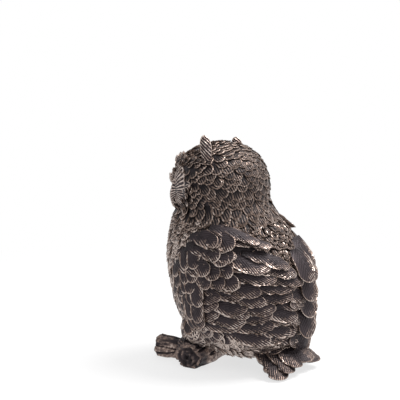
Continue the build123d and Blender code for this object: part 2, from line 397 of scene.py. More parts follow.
def joined(name, parts):
    # several sets of points, faces and values as one mesh
    points, groups, values, base = [], [], {}, 0
    for somePoints, someGroups, someValues in parts:
        points.append(somePoints)
        groups += [(faces + base, rounded) for faces, rounded in someGroups]
        for key, numbers in someValues.items():
            values.setdefault(key, []).append(numbers.ravel())
        base += len(somePoints)
    values = {key: np.concatenate(numbers) for key, numbers in values.items()}
    return meshObject(name, np.concatenate(points), groups, values)


# shader values
class Wire:
    # one socket of a node tree; arithmetic on it adds Math nodes
    def __init__(self, tree, socket=None):
        self.tree = tree
        self.socket = socket

    def node(self, kind, settings, inputs, output=0):
        made = self.tree.nodes.new("ShaderNode" + kind)
        for key, value in settings.items():
            if key == "stops":
                ramp = made.color_ramp.elements
                while len(ramp) < len(value):
                    ramp.new(0.5)
                for stop, (place, colour) in zip(ramp, value):
                    stop.position, stop.color = place, colour
            else:
                setattr(made, key, value)
        for key, value in inputs.items():
            if isinstance(value, Wire):
                self.tree.links.new(value.socket, made.inputs[key])
            else:
                made.inputs[key].default_value = value
        return Wire(self.tree, made.outputs[output])

    def maths(self, operation, first, second=0.0):
        return self.node("Math", {"operation": operation}, {0: first, 1: second})

    def __add__(self, other):
        return self.maths("ADD", self, other)

    def __sub__(self, other):
        return self.maths("SUBTRACT", self, other)

    def __rsub__(self, other):
        return self.maths("SUBTRACT", other, self)

    def __mul__(self, other):
        return self.maths("MULTIPLY", self, other)

    __radd__ = __add__

    def cosine(self):
        return self.maths("COSINE", self)

    def clamped(self):
        return self.node("Clamp", {}, {"Value": self, "Min": 0.0, "Max": 1.0})

    def eased(self, low, high):
        # 0 up to low, 1 from high, smooth between
        settings = {"interpolation_type": "SMOOTHSTEP"}
        return self.node("MapRange", settings, {"Value": self, "From Min": low, "From Max": high})

    def named(self, attribute):
        return self.node("Attribute", {"attribute_name": attribute}, {}, "Fac")

    def noise(self, scale, detail=2.0, roughness=0.5):
        place = self.node("TexCoord", {}, {}, "Object")
        inputs = {"Vector": place, "Scale": scale, "Detail": detail, "Roughness": roughness}
        return self.node("TexNoise", {}, inputs, 0)

    def mixed(self, first, second):
        # this value chooses between two colours
        def rgba(colour):
            return colour if isinstance(colour, Wire) else (*colour, 1.0)

        settings = {"data_type": "RGBA", "clamp_factor": True}
        return self.node("Mix", settings, {0: self, 6: rgba(first), 7: rgba(second)}, 2)


def newMaterial(name, settings):
    # a material with a plain Principled shader; returns it, the shader and a Wire to start from
    material = bpy.data.materials.new(name)
    material.use_nodes = True
    tree = material.node_tree
    shader = tree.nodes["Principled BSDF"]
    for key, value in settings.items():
        shader.inputs[key].default_value = value
    return material, shader, Wire(tree)


def feed(wires, shader, colour, metal, rough, height, strength, depth):
    # joins the finished values to the shader, with the height through a Bump node
    bump = wires.node("Bump", {}, {"Height": height, "Strength": strength, "Distance": depth})
    for key, wire in (("Base Color", colour), ("Metallic", metal), ("Roughness", rough), ("Normal", bump)):
        wires.tree.links.new(wire.socket, shader.inputs[key])


bronze = {
    # the patina colour is also the painted shade where feathers cover one another
    "patina": (0.0042, 0.0034, 0.0044),  # near-black wax left in the hollows
    "brown": (0.056, 0.0420, 0.0470),  # the toned metal
    "copper": (0.44, 0.320, 0.262),  # rubbed edges
    "pale": (0.62, 0.53, 0.48),  # edges that are rubbed most
    "rough": 0.44,
    # noise scales on feathers, in waves per metre
    "patches": 260.0,
    "grain": 2300.0,
    "breaks": 760.0,
    "wobble": 420.0,
}


def featherBronze(name, wear, barbs, paintedLight):
    # Copper comes through on the rims and along the barbs, more where patches were rubbed; the ground is
    # dark where the hollow value is high, as patina and as painted shade, and its brightness is scaled by
    # the last argument, a painted light level that gives lit and shaded copies of the material.
    # A barb is a cosine of the "barb" value, as strong as "tip" and as a noise that breaks it into strokes.
    material, shader, wires = newMaterial(name, {"Specular IOR Level": 0.22})
    rim, hollow = wires.named("rim"), wires.named("hollow")
    barb, tip = wires.named("barb"), wires.named("tip")
    chance = wires.named("chance")
    patch = wires.noise(bronze["patches"], 3.0, 0.6)
    fine = wires.noise(bronze["grain"], 2.0, 0.6)
    broken = wires.noise(bronze["breaks"], 1.0).eased(0.36, 0.60)
    wobble = (wires.noise(bronze["wobble"], 1.0) - 0.5) * 0.4
    stroke = ((barb + wobble) * (2 * math.pi)).cosine() * 0.5 + 0.5
    openness = 1 - hollow
    rubbed = (patch * 1.5 + chance * 0.5 - 0.45).clamped()
    onRim = rim.eased(0.36, 0.85) * (0.35 + rubbed * 0.8) * (0.5 + broken * 0.3 + stroke * 0.3)
    onBarb = stroke.eased(0.60, 0.95) * tip.eased(0.1, 0.9) * (0.25 + rubbed * 0.8)
    onBarb = onBarb * (0.3 + broken * 0.7) * barbs
    worn = ((onRim + onBarb) * openness * wear * (0.75 + fine * 0.5)).clamped()
    # the ground is lighter where the feather is open and on its stroked half, partly painted light, times the
    # painted light level
    tone = ((openness * (0.25 + stroke * 0.35 + tip * stroke * 0.3) + rubbed * 0.25) * paintedLight).clamped()
    ground = tone.mixed(bronze["patina"], bronze["brown"])
    colour = worn.mixed(ground, worn.eased(0.7, 1.0).mixed(bronze["copper"], bronze["pale"]))
    height = stroke * 0.6 * (1 - rim * 0.5) + fine * 0.25
    metal = (0.25 + worn * 0.6 + openness * 0.12).clamped()
    rough = bronze["rough"] + fine * 0.14 - worn * 0.1
    feed(wires, shader, colour, metal, rough, height, 0.75, 0.22 * mm)
    return material, "feather_bronze"


def castBronze(name, wear, size, grain=1.0, rough=0.0):
    # Bark, claws, eyes and plain castings: copper where the "rim" value says that the form stands proud, in
    # flakes of a noise, and dark brown in patches elsewhere.
    material, shader, wires = newMaterial(name, {"Specular IOR Level": 0.22})
    rim = wires.named("rim")
    patch = wires.noise(200.0, 3.0, 0.6)
    fine = wires.noise(size, 4.0, 0.65)
    flake = wires.noise(size * 0.45, 3.0, 0.6).eased(0.42, 0.62)
    worn = (rim.eased(0.45, 0.95) * (0.35 + patch) * wear * (0.25 + flake * 0.75)).clamped()
    tone = (patch * 0.9 + fine * 0.5 + rim * 0.7 - 0.45).clamped()
    ground = tone.mixed(bronze["patina"], bronze["brown"])
    colour = worn.mixed(ground, worn.eased(0.6, 1.0).mixed(bronze["copper"], bronze["pale"]))
    metal = (0.3 + worn * 0.5).clamped()
    rough = bronze["rough"] + rough + fine * 0.15
    feed(wires, shader, colour, metal, rough, fine, 0.6 * grain, 0.25 * mm)
    return material, name.replace(" ", "_")


# each finish is a material and the name of its slot; the last number of a feather copy is its painted
# light level: the scale copy, on head, neck, back and brows, has a darker ground as painted shade, and the
# breast copy, on the breast and face discs, is rubbed more and has a brighter ground, partly as painted light
featherFinish = featherBronze("feather bronze", 1.3, 1.05, 1.0)
scaleFinish = featherBronze("scale bronze", 0.88, 0.75, 0.26)
tailFinish = featherBronze("tail bronze", 1.0, 0.85, 0.75)
breastFinish = featherBronze("breast bronze", 2.3, 1.2, 1.2)
coreFinish = castBronze("core bronze", 0.0, 1500.0)


def finishPiece(name, parts, finish, *nodes):
    # joins the parts, gives the piece its material, and lets it stand for CAD nodes
    piece = joined(name, parts)
    material, slotName = finish
    print("piece", name, "vertices", len(piece.data.vertices))
    piece.data.materials.append(material)
    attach(piece, "root")
    if nodes:
        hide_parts(*nodes)
    return piece


# where the castings are
def boxOf(node):
    low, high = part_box(node)
    return np.array(low), np.array(high)


def middleOf(node):
    low, high = boxOf(node)
    return (low + high) / 2


headLow = boxOf("head_casting")[0]
wingRise = boxOf("left_wing")[1][0] - boxOf("body_casting")[1][0]  # how far a wing stands out over the body
headTurn = math.radians(7)
faceAhead = np.array((math.sin(headTurn), -math.cos(headTurn), 0.0))
faceSide = np.array((math.cos(headTurn), math.sin(headTurn), 0.0))
neckY = middleOf("head_casting")[1] + 1.2 * mm
castings = ["head_casting", "body_casting"]
bodyForm = Form(["body_casting"], (0.0, -2.0 * mm, 36 * mm))
faceForm = Form(["head_casting"], (0.0, neckY, headLow[2] + 11 * mm))
headForm = Form(castings, (0.0, neckY, headLow[2] + 11 * mm), 10)
neckForm = Form(castings, (0.0, neckY, headLow[2]), 10)
print("forms ready")


def repaint(node, finish):
    # a CAD node that is shown as it is
    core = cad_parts[node]
    core.data.materials.clear()
    core.data.materials.append(finish[0])


for node in castings[::-1]:
    repaint(node, coreFinish)


# head plumage
scaleShape = {
    "grid": (6, 5),
    "length": 6.3 * mm,
    "width": 4.9 * mm,
    "rootWidth": 0.75,
    "widestAt": 0.5,
    "tipRound": 0.9,
    "slope": 0.85 * mm,
    "sink": 0.3 * mm,
    "camber": 0.45 * mm,
    "curl": 0.1 * mm,
    "shaft": 0.0,
    "thick": 0.55 * mm,
    "rim": 0.42 * mm,
    "barbSlant": 0.0,
    "barbGap": 0.8 * mm,
}


def scaleLike(length, width, **rest):
    # the scale's shape with another length and width, in millimetres
    return dict(scaleShape, length=length * mm, width=width * mm, **rest)


def scales(name, form, places, aims, shape, seed, rise=0.0):
    # small feathers, whose strokes fan out from the root instead of slanting off a shaft
    points, groups, values = feathers(name, form, places, aims, shape, seed, rise)
    rows, columns = shape["grid"]
    border = gridBorder(rows, columns)
    fan = np.tile(np.sin(np.linspace(-1, 1, columns) * np.pi / 2), rows) * shape["strokes"] / 2
    outer = ease((np.repeat(np.linspace(0, 1, rows), columns) - 0.38) / 0.4)
    for key, numbers in (("barb", fan), ("tip", outer)):
        values[key] = np.tile(np.concatenate((numbers, numbers[border])), (len(places), 1))
    return points, groups, values


def flowing(form, places, flow, turn, rng):
    # the flow laid flat on the outside at each place, turned by a random angle
    up = form.normal(places)
    flow = unit(flow - up * np.sum(flow * up, -1, keepdims=True))
    swing = np.radians(rng.normal(0, turn, len(places)))[:, None]
    return flow * np.cos(swing) + np.cross(up, flow) * np.sin(swing)


face = {
    "disc": 9.3 * mm,  # radius of a facial disc
    "turn": 50.0,  # degrees that a disc faces outwards
    "lean": 17.0,  # degrees that it faces up
    "dish": 1.6 * mm,
    "deep": 0.6 * mm,
    "rays": 40,
    "relief": 0.17 * mm,
    "ruff": 34,  # feathers round each disc
    "clear": 1.7 * mm,  # round the root of an ear tuft
}
eyes = [middleOf(word + "_eye") for word, _ in sides]


def fromDisc(places):
    # distance to the nearer disc's middle, seen from straight ahead
    gaps = []
    for middle in eyes:
        away = places - middle
        gaps.append(np.hypot(away @ faceSide, away[..., 2]))
    return np.where(places @ faceAhead > headForm.centre @ faceAhead, np.minimum(*gaps), 1.0)


def fromTufts(places):
    # distance to the nearer ear tuft's root, seen from above
    roots = [middleOf(word + "_ear_tuft")[:2] for word, _ in sides]
    return np.minimum(*[np.linalg.norm(places[:, :2] - root, axis=1) for root in roots])


def headPlumage():
    # each set is its gap, size, the share of the way ahead that it starts and ends at, turn, strokes and seed
    rng = np.random.default_rng(11)
    parts = []
    for gap, size, near, far, turn, strokes, seed in (
        (3.3, 1.0, -1.1, 0.12, 8, 5, 1),
        (2.4, 0.70, 0.10, 0.50, 18, 3, 2),
        (1.6, 0.44, 0.48, 1.1, 60, 2, 3),
    ):
        places = headForm.spread(gap * mm, rng)
        ray = unit(places - headForm.centre)
        ahead = ray @ faceAhead + 0.06 * rng.uniform(-1, 1, len(ray))
        keep = (ahead > near) & (ahead <= far) & (places[:, 2] > headLow[2] - mm)
        keep &= (fromDisc(places) > face["disc"]) & (fromTufts(places) > face["clear"])
        places = places[keep]
        flow = flowing(headForm, places, np.array((0, 0.75, -1.0)), turn, rng)
        shape = dict(scaleShape, strokes=strokes, grid=(6, 7) if size > 0.9 else (5, 5))
        shape.update(length=scaleShape["length"] * size, width=scaleShape["width"] * size)
        shape["slope"] = scaleShape["slope"] * (0.45 + 0.55 * size)
        parts.append(scales("head" + str(seed), headForm, places, flow, shape, seed))
    return finishPiece("head_plumage", parts, scaleFinish)


def neckRuff():
    # scales that run on from the head over the joint and down to the shoulders; each set is its gap, length,
    # width, strokes, front angle, back angle and seed
    rng = np.random.default_rng(13)
    parts = []
    for gap, length, width, strokes, front, back, seed in (
        (3.0, 6.0, 4.6, 5, 62, 180, 14),
        (2.0, 4.2, 2.6, 3, 0, 62, 15),
    ):
        places = neckForm.spread(gap * mm, rng)
        rise = (places[:, 2] - headLow[2]) / mm + rng.normal(0, 0.8, len(places))
        away = places - neckForm.centre
        around = np.degrees(np.abs(np.arctan2(away[:, 0], -away[:, 1]))) + rng.normal(0, 5, len(places))
        keep = (rise > -8) & (rise < -0.5) & (around >= front) & (around < back + 20)
        keep &= fromDisc(places) > face["disc"]
        places = places[keep]
        flow = flowing(neckForm, places, np.array((0, 0.35, -1.0)), 11, rng)
        shape = scaleLike(length, width, strokes=strokes, grid=(6, 7))
        parts.append(scales("neck" + str(seed), neckForm, places, flow, shape, seed))
    return finishPiece("neck_ruff", parts, scaleFinish)


def faceDisc(name, middle, sign):
    # A dish round the eye, turned outwards on the head; its rays are a cosine of the angle round it, made
    # uneven by two slower sines, and it rises from the eye to its rim as the square of the radius.
    rng = np.random.default_rng(17 + sign)
    rows, columns = 24, 168
    outward = math.radians(face["turn"]) * sign
    lean = math.radians(face["lean"])
    level = faceAhead * math.cos(outward) + faceSide * math.sin(outward)
    beside = faceSide * math.cos(outward) - faceAhead * math.sin(outward)
    axis = level * math.cos(lean) + upward * math.sin(lean)
    above = upward * math.cos(lean) - level * math.sin(lean)
    share = np.linspace(0.0, 1.0, rows)[:, None]
    turn = fullTurn(columns)[None]
    wave = 0.25 * np.sin(3 * turn + 1) + 0.2 * np.sin(5 * turn)
    phase = turn * face["rays"] + 3 * wave + 1.5 * share

    def onDish(share, turn, lift):
        radius = face["disc"] * share
        ahead = face["dish"] * share**2 - face["deep"] + lift
        spot = middle + beside * (np.cos(turn) * radius)[..., None]
        spot = spot + above * (np.sin(turn) * radius)[..., None]
        return spot + axis * ahead[..., None]

    def overSkin(points, gap):
        # points under the casting's outside are brought over it
        away = points - faceForm.centre
        least = faceForm.look(faceForm.reach, points) + gap
        return faceForm.centre + unit(away) * np.maximum(np.linalg.norm(away, axis=-1), least)[..., None]

    relief = np.cos(phase) * face["relief"] * ease(share * 2.5) * (1.2 - share * 0.4)
    fall = face["deep"] * 1.2 * (1 - ease(share * 2.2))
    grid = overSkin(onDish(share, turn, -fall), 0.3 * mm) + axis * relief[..., None]
    back = onDish(share * 0.96, turn, 0 * relief - 3.0 * mm)
    whole = np.concatenate((grid, back[::-1]))
    front = {
        "rim": np.exp(-(1 - share) / 0.05) + 0 * turn,
        # hollow darkens the middle of the dish round the eye and the back, as patina and as painted shade in
        # the recess
        "hollow": 1 - ease((share - 0.25) / 0.3) + 0 * turn,
        "barb": phase / (2 * np.pi),
        "tip": 0.35 + 0.65 * share + 0 * turn,
        "chance": 0.75 + 0 * phase,
    }
    values = {key: np.concatenate((numbers, numbers[::-1])) for key, numbers in front.items()}
    values["hollow"][rows:] = 1
    points, groups, values = tube(whole, values)
    if sign > 0:
        groups = [(faces[:, ::-1], rounded) for faces, rounded in groups]
    parts = [(points, groups, values)]
    # the ruff: each ring is its share of the radius, the feathers' length, width and slope
    for ring, length, width, slope in ((0.98, 3.0, 1.9, 1.4), (1.08, 3.4, 2.2, 0.8)):
        turn = (np.arange(face["ruff"]) + 0.5 * (ring > 1.0)) * 2 * np.pi / face["ruff"]
        turn = turn + rng.normal(0, 0.04, face["ruff"])
        places = onDish(0 * turn + ring, turn, 0 * turn)
        aims = places - onDish(0 * turn + 0.5, turn, 0 * turn)
        skin = faceForm.skin(places)
        near = np.linalg.norm(places - skin, axis=1) < 3.5 * mm
        aims = flowing(faceForm, places[near], aims[near], 18, rng)
        shape = scaleLike(length, width, strokes=2, grid=(6, 5))
        shape.update(slope=slope * mm, sink=-0.3 * mm, curl=0.5 * mm, camber=0.2 * mm)
        parts.append(scales(name + "ruff", faceForm, skin[near], aims, shape, 19, 0.5 * mm))
    return finishPiece(name, parts, breastFinish)


def brows():
    # long feathers from between the eyes up to each ear tuft
    rng = np.random.default_rng(23)
    parts = []
    start = middleOf("beak") + upward * 4.5 * mm
    share = np.linspace(0.0, 0.92, 13)
    for word, sign in sides:
        end = middleOf(word + "_ear_tuft") - upward * 5.0 * mm
        line = blend(start, end, share[:, None]) + faceSide * sign * 0.6 * mm
        places = faceForm.skin(line)
        aims = unit(end - start) + 0.35 * sign * faceSide + np.array((0, 0, 0.25))
        aims = flowing(faceForm, places, aims + 0 * places, 12, rng)
        shape = scaleLike(4.6, 2.1, strokes=2, grid=(8, 5))
        shape.update(slope=0.9 * mm, sink=0.1 * mm, tipRound=1.4)
        parts.append(scales("brow", faceForm, places, aims, shape, 24, 0.4 * mm))
    return finishPiece("brow_feathers", parts, scaleFinish)


# trunk: each set is its gap, length, width, lowest, highest, front angle, back angle, turn, strokes and seed;
# lengths are in millimetres and angles in degrees round from straight ahead
trunkSets = (
    (2.0, 4.2, 2.6, 50, 62, 0, 74, 26, 3, 4),
    (2.6, 5.8, 3.5, 38, 52, 0, 104, 18, 4, 5),
    (3.6, 9.2, 5.8, 15, 40, 0, 104, 9, 6, 6),
    (2.5, 5.2, 3.9, 34, 61, 128, 180, 14, 4, 7),
    (2.6, 8.6, 3.4, 4, 19, 0, 180, 9, 4, 8),
)


def bodyPlumage():
    rng = np.random.default_rng(12)
    parts, mantle = [], []
    for gap, length, width, low, high, front, back, turn, strokes, seed in trunkSets:
        places = bodyForm.spread(gap * mm, rng)
        height = places[:, 2] / mm + rng.normal(0, 1.2, len(places))
        around = np.degrees(np.abs(np.arctan2(places[:, 0], -(places[:, 1] - bodyForm.centre[1]))))
        keep = (height > low) & (height <= high) & (around >= front) & (around <= back)
        keep &= bodyForm.normal(places)[:, 2] > -0.9
        places = places[keep]
        backwards = ease((around[keep] / 180 - 0.3) * 3) * ease((22 - places[:, 2] / mm) / 8) * 3.6
        flow = np.stack((0 * backwards, backwards, -1 + 0 * backwards), -1)
        aims = flowing(bodyForm, places, flow, turn, rng)
        shape = scaleLike(length, width, strokes=strokes)
        shape.update(tipRound=1.15, rootWidth=0.6)
        shape["slope"] = (0.75 + 0.08 * length + (0.5 if front > 90 else 0)) * mm
        if width > 5:
            shape.update(grid=(12, 11), shaft=0.2 * mm, barbSlant=1.4, barbGap=1.5 * mm)
            shape.update(thick=0.9 * mm, rim=0.6 * mm)
            parts.append(feathers("body" + str(seed), bodyForm, places, aims, shape, seed))
        else:
            shape["grid"] = (6, 7)
            made = scales("body" + str(seed), bodyForm, places, aims, shape, seed)
            (mantle if front > 90 else parts).append(made)
    finishPiece("mantle_plumage", mantle, scaleFinish)
    return finishPiece("body_plumage", parts, breastFinish)


def flankLeaves(sign, seed):
    # the big leaf feathers of the breast's side, which lie over the wing's front edge; each column has its
    # angle round from straight ahead, heights, length, width and rise
    rng = np.random.default_rng(seed)
    parts = []
    for angle, heights, length, width, rise in (
        (62, np.arange(19, 50, 5.2), 7.6, 5.6, 0.8),
        (71, np.arange(22, 52, 5.2), 7.8, 5.6, 1.6),
        (80, np.arange(24, 54, 5.2), 8.2, 5.8, 2.4),
        (87, np.array((25, 31, 37)), 9.6, 5.6, 3.1),
    ):
        height = heights + rng.normal(0, 0.5, len(heights))
        turn = np.radians(angle + rng.normal(0, 1.5, len(heights))) * sign
        places = bodyForm.at(turn, (height + 3.5) * mm)
        back = np.stack((np.cos(turn), np.sin(turn), 0 * turn), -1) * sign
        aims = np.array((0, 0, -1.0)) + back * (0.22 + rng.normal(0, 0.10, len(turn)))[:, None]
        shape = scaleLike(length, width, grid=(22, 13), tipRound=1.25)
        shape.update(thick=1.1 * mm, slope=1.3 * mm, shaft=0.22 * mm, rim=0.6 * mm)
        shape.update(barbSlant=1.5, barbGap=1.6 * mm, clefts=1, cleftWidth=0.3 * mm)
        parts.append(feathers("flank", bodyForm, places, aims, shape, seed, rise * mm))
    return parts


# wings: rows of long feathers that start under the breast and end in free tips over the back
wing = {
    "rows": 11,
    "firstAngle": 90,  # degrees round from straight ahead
    "stepBack": 11.5,  # between the feathers of a row
    # heights of the first and last rows' lower edges, at these angles round the body
    "angles": (84, 120, 140, 168, 196),
    "firstRow": (57.5, 57, 56, 50, 36),
    "lastRow": (21, 16.5, 14.5, 12.5, 10.5),
    # where a row's last tip is, from the first row to the last
    "shares": (0, 0.1, 0.2, 0.32, 0.42, 0.52, 0.7, 0.85, 1.0),
    "tips": (141, 148, 166, 170, 172, 186, 193, 194, 190),
    "shape": {
        "grid": (46, 15),
        "length": 19.5 * mm,
        "width": 7.0 * mm,
        "rootWidth": 0.6,
        "widestAt": 0.5,
        "tipRound": 1.9,
        "slope": 1.3 * mm,
        "sink": 0.5 * mm,
        "tilt": 1.0 * mm,
        "camber": 0.40 * mm,
        "curl": 0.25 * mm,
        "shaft": 0.22 * mm,
        "sweep": 0.8 * mm,
        "thick": 1.2 * mm,
        "rim": 0.50 * mm,
        "barbSlant": 1.6,
        "barbGap": 1.75 * mm,
        "clefts": 4,
        "cleftWidth": 0.42 * mm,
    },
    "radii": (21, 25, 29, 28),  # of the body at shares 0, 0.2, 0.5 and 1 of the way down
    "middle": 2.7,  # from a row's lower edge up to its feathers' shafts
    "top": 0.15,  # rows above this share have smaller feathers
    "shoulderAngles": (85, 92, 99),
    "shoulderHeights": (57.5, 52.5, 47.5, 43),
    "backLeaves": (46, 38, 30.5, 23, 16),  # heights of the far wing's leaves beside the middle of the back
}


def rowHeight(share, angle):
    # between the first and the last row's heights, at an angle round the body
    first = np.interp(angle, wing["angles"], wing["firstRow"])
    return blend(first, np.interp(angle, wing["angles"], wing["lastRow"]), share)


def wingPlumage(name, node, sign, seed):
    # Rows from the shoulder down; each feather's aim is the way to the next place along its row, and the last
    # one of a row ends at the row's tip.
    rng = np.random.default_rng(seed)
    parts = []
    shape = dict(wing["shape"], side=-sign)

    def place(angle, height):
        return bodyForm.at(np.radians(angle) * sign, height * mm)

    for row in range(wing["rows"]):
        share = row / (wing["rows"] - 1)
        tip = np.interp(share, wing["shares"], wing["tips"])
        radius = np.interp(share, (0, 0.2, 0.5, 1), wing["radii"])
        isTop = share < wing["top"]
        step = np.degrees(wing["stepBack"] / radius)
        last = tip - np.degrees(wing["shape"]["length"] / mm * 0.93 / radius)
        angle = np.arange(last, wing["firstAngle"] - 28, -step)
        angle = angle + rng.normal(0, 1.2, len(angle)) * (angle < last)
        height = rowHeight(share, angle) + wing["middle"] + rng.normal(0, 0.3, len(angle))
        places = place(angle, height)
        aims = place(angle + 6, rowHeight(share, angle + 6) + wing["middle"]) - places
        length = wing["shape"]["length"] * np.where(angle == last, 1.06, 1.0) * (0.86 if isTop else 1)
        rise = wingRise - (0.9 + 0.9 * share) * mm
        own = dict(shape, length=length, width=wing["shape"]["width"] * (1 - 0.12 * share))
        own["width"] = own["width"] * (0.78 if isTop else 1)
        parts.append(feathers(name + str(row), bodyForm, places, aims, own, seed + row, rise))

    # the short rounded coverts over the shoulder
    angle, height = np.meshgrid(wing["shoulderAngles"], wing["shoulderHeights"])
    angle = (angle + 4 * (np.arange(len(height)) % 2)[:, None]).ravel() + rng.normal(0, 1, angle.size)
    height = height.ravel() + rng.normal(0, 0.5, height.size)
    places = place(angle, height)
    aims = place(angle + 6, height - 1.3 + rng.normal(0, 0.5, len(height))) - places
    coverts = dict(shape, grid=(20, 13), length=8.4 * mm, width=6.0 * mm, clefts=2)
    coverts.update(tipRound=1.0, tilt=0.3 * mm)
    parts.append(feathers(name + "coverts", bodyForm, places, aims, coverts, seed + 30, wingRise + 0.2 * mm))

    # leaves that point down beside the middle of the back
    if sign < 0:
        height = np.array(wing["backLeaves"])
        for angle, rise, up in ((150, -0.6, 0.5), (162, 0.1, 4), (174, 0.8, 0)):
            spots = angle + rng.normal(0, 1.5, len(height))
            level = height + up + rng.normal(0, 0.6, len(height))
            places = place(spots, level + 4)
            aims = place(spots + 5, level - 8) - places
            leaf = dict(shape, grid=(34, 15), length=12.5 * mm, width=7.8 * mm, clefts=1, tipRound=1.1)
            leaf.update(tilt=1.9 * mm, sweep=0.0, camber=0.7 * mm, slope=2.2 * mm)
            leafRise = wingRise + (rise - 0.3) * mm
            parts.append(feathers(name + "leaves", bodyForm, places, aims, leaf, seed + 40, leafRise))
    parts += flankLeaves(sign, seed + 50)

    # the solid wing under the feathers
    u, v = np.meshgrid(np.linspace(0.05, 0.97, 26), np.linspace(0, 1, 40), indexing="ij")
    ends = np.interp(u, wing["shares"], wing["tips"]) - 9
    angle = blend(86, np.minimum(ends, 179.5), v)
    outline = place(angle.ravel(), rowHeight(u, angle).ravel() + 2.2).reshape(*angle.shape, 3)
    parts.append(slab(bodyForm, outline, wingRise - 1.6 * mm, -0.3 * mm))
    return finishPiece(name, parts, featherFinish, node)


# tail: broad feathers that fan out from under the wings, the middle one on top
tail = {
    "spread": (3, -3, 2, -2, 1, -1, 0),  # steps from the middle, from the lowest feather to the top one
    "fan": 7.0,  # degrees between neighbours
    "apart": 2.5 * mm,
    "roof": (13.0 * mm, 9 * mm, 24 * mm, 10.6 * mm, 64 * mm),  # high, start, long, drop, arch
    "reach": 20.6,  # millimetres from the root to the middle one's tip
    "shape": {
        "grid": (64, 19),
        "width": 10.4 * mm,
        "rootWidth": 0.55,
        "widestAt": 0.7,
        "tipRound": 1.0,
        "slope": 0.5 * mm,
        "sink": 0.3 * mm,
        "tilt": 1.0 * mm,
        "camber": 0.9 * mm,
        "curl": -0.2 * mm,
        "shaft": 0.3 * mm,
        "sweep": 1.2 * mm,
        "thick": 1.5 * mm,
        "rim": 0.45 * mm,
        "bare": 0.15,
        "barbSlant": 1.3,
        "barbGap": 1.7 * mm,
        "ridge": 0.18 * mm,
        "clefts": 3,
        "cleftWidth": 0.3 * mm,
    },
}


def tailPlumage():
    parts = []
    dome = Roof(*tail["roof"])
    start = boxOf("tail_fan")[0][1]
    for order, k in enumerate(tail["spread"]):
        turn = math.radians(tail["fan"] * k)
        root = np.array(((tail["apart"] * k, start - 4.4 * mm, 12 * mm),))
        aims = np.array(((math.sin(turn), math.cos(turn), -0.2),))
        length = (tail["reach"] + 0.8 * abs(k) - 0.45 * k * k) * mm
        shape = dict(tail["shape"], length=length, side=float(-np.sign(k) or 1))
        rise = 0.35 * mm * order
        parts.append(feathers("tail" + str(order), dome, dome.skin(root), aims, shape, 41 + order, rise))
    # short coverts over the roots
    k = np.array((2.5, -2.5, 1.5, -1.5, 0.5, -0.5))
    roots = np.stack((tail["apart"] * k, 0 * k + start - 3.0 * mm, 0 * k + 12 * mm), -1)
    turn = np.radians(tail["fan"] * 1.2) * k
    aims = np.stack((np.sin(turn), np.cos(turn), 0 * k - 0.2), -1)
    shape = dict(tail["shape"], grid=(30, 13), length=11.5 * mm, width=5.6 * mm, bare=0.05, clefts=1)
    parts.append(feathers("tail coverts", dome, dome.skin(roots), aims, shape, 49, 2.2 * mm))
    # the solid fan under the feathers
    u, v = np.meshgrid(np.linspace(-1, 1, 30), np.linspace(0, 1, 26), indexing="ij")
    turn = np.radians(tail["fan"] * 2.7) * u
    reach = (v * 17 - 1) * mm
    across = 6.5 * mm * u + np.sin(turn) * reach
    outline = np.stack((across, start - 2.0 * mm + np.cos(turn) * reach, 8 * mm + 0 * u), -1)
    parts.append(slab(dome, dome.skin(outline), 0.2 * mm, -2.6 * mm))
    return finishPiece("tail_plumage", parts, tailFinish, "tail_fan")


tuft = {
    "left_ear_tuft": 0.4 * mm,  # how far the leaf stands over the casting under it
    "right_ear_tuft": 0.7 * mm,
    "width": 2.35 * mm,
    "thick": 1.5 * mm,
    "into": 4.0 * mm,  # how deep the root is in the head
    "barbGap": 1.6 * mm,
    "relief": 0.30 * mm,
    "broadest": 0.7,  # share of its height
    "columns": 56,
}


def earTuft(name, node, sign):
    # A rounded leaf: it widens up to its broadest height and closes as a quarter of an ellipse above that;
    # its barbs slant all one way, down towards the back, and a rib runs up its middle.
    low, high = boxOf(node)
    up = np.linspace(0, 1, 64)[:, None]
    root = np.array(((low[0] + high[0]) / 2, (low[1] + high[1]) / 2 - 0.6 * mm, low[2] - tuft["into"]))
    tip = np.array((root[0] + 0.9 * mm * sign, root[1] - 0.9 * mm, high[2] + tuft[node]))
    path = blend(root, tip, up) + np.array((0.3 * mm * sign, 0.9 * mm, 0)) * np.sin(np.pi * up)
    broadest = tuft["broadest"]
    closing = np.sqrt(1 - np.clip((up - broadest) / (1 - broadest), 0, 1) ** 2 + 0.003)
    wide = tuft["width"] * blend(0.62, 1, ease(up / broadest)) * closing
    thick = tuft["thick"] * np.sqrt(1 - up**3 + 0.01)
    turn = fullTurn(tuft["columns"])[None]
    s = up * np.linalg.norm(tip - root)
    barb = (s + 1.3 * np.cos(turn) * wide) / tuft["barbGap"]
    groove = tuft["relief"] * (0.5 - 0.5 * np.cos(2 * np.pi * barb)) * (np.abs(np.cos(turn)) < 0.93)
    rib = 0.35 * mm * np.exp(-((np.cos(turn) / 0.16) ** 2))
    wideWay = np.array((-0.45, 1.0, 0))
    grid, _ = ringed(path, wideWay, wide - groove * 0.3, thick - groove + rib, tuft["columns"])
    rim = np.exp(-(1 - np.abs(np.cos(turn))) * wide / (0.30 * mm)) + 0.8 * np.exp(-(1 - up) / 0.08)
    # hollow darkens the tuft's root where it goes into the head, as patina and as painted shade
    values = {"rim": np.clip(rim, 0, 1), "hollow": 0 * barb + (1 - ease(up * 3)), "barb": barb}
    values["tip"] = 0 * barb + 1
    values["chance"] = 0 * barb + 0.9
    return finishPiece(name, [tube(grid, values)], featherFinish, node)


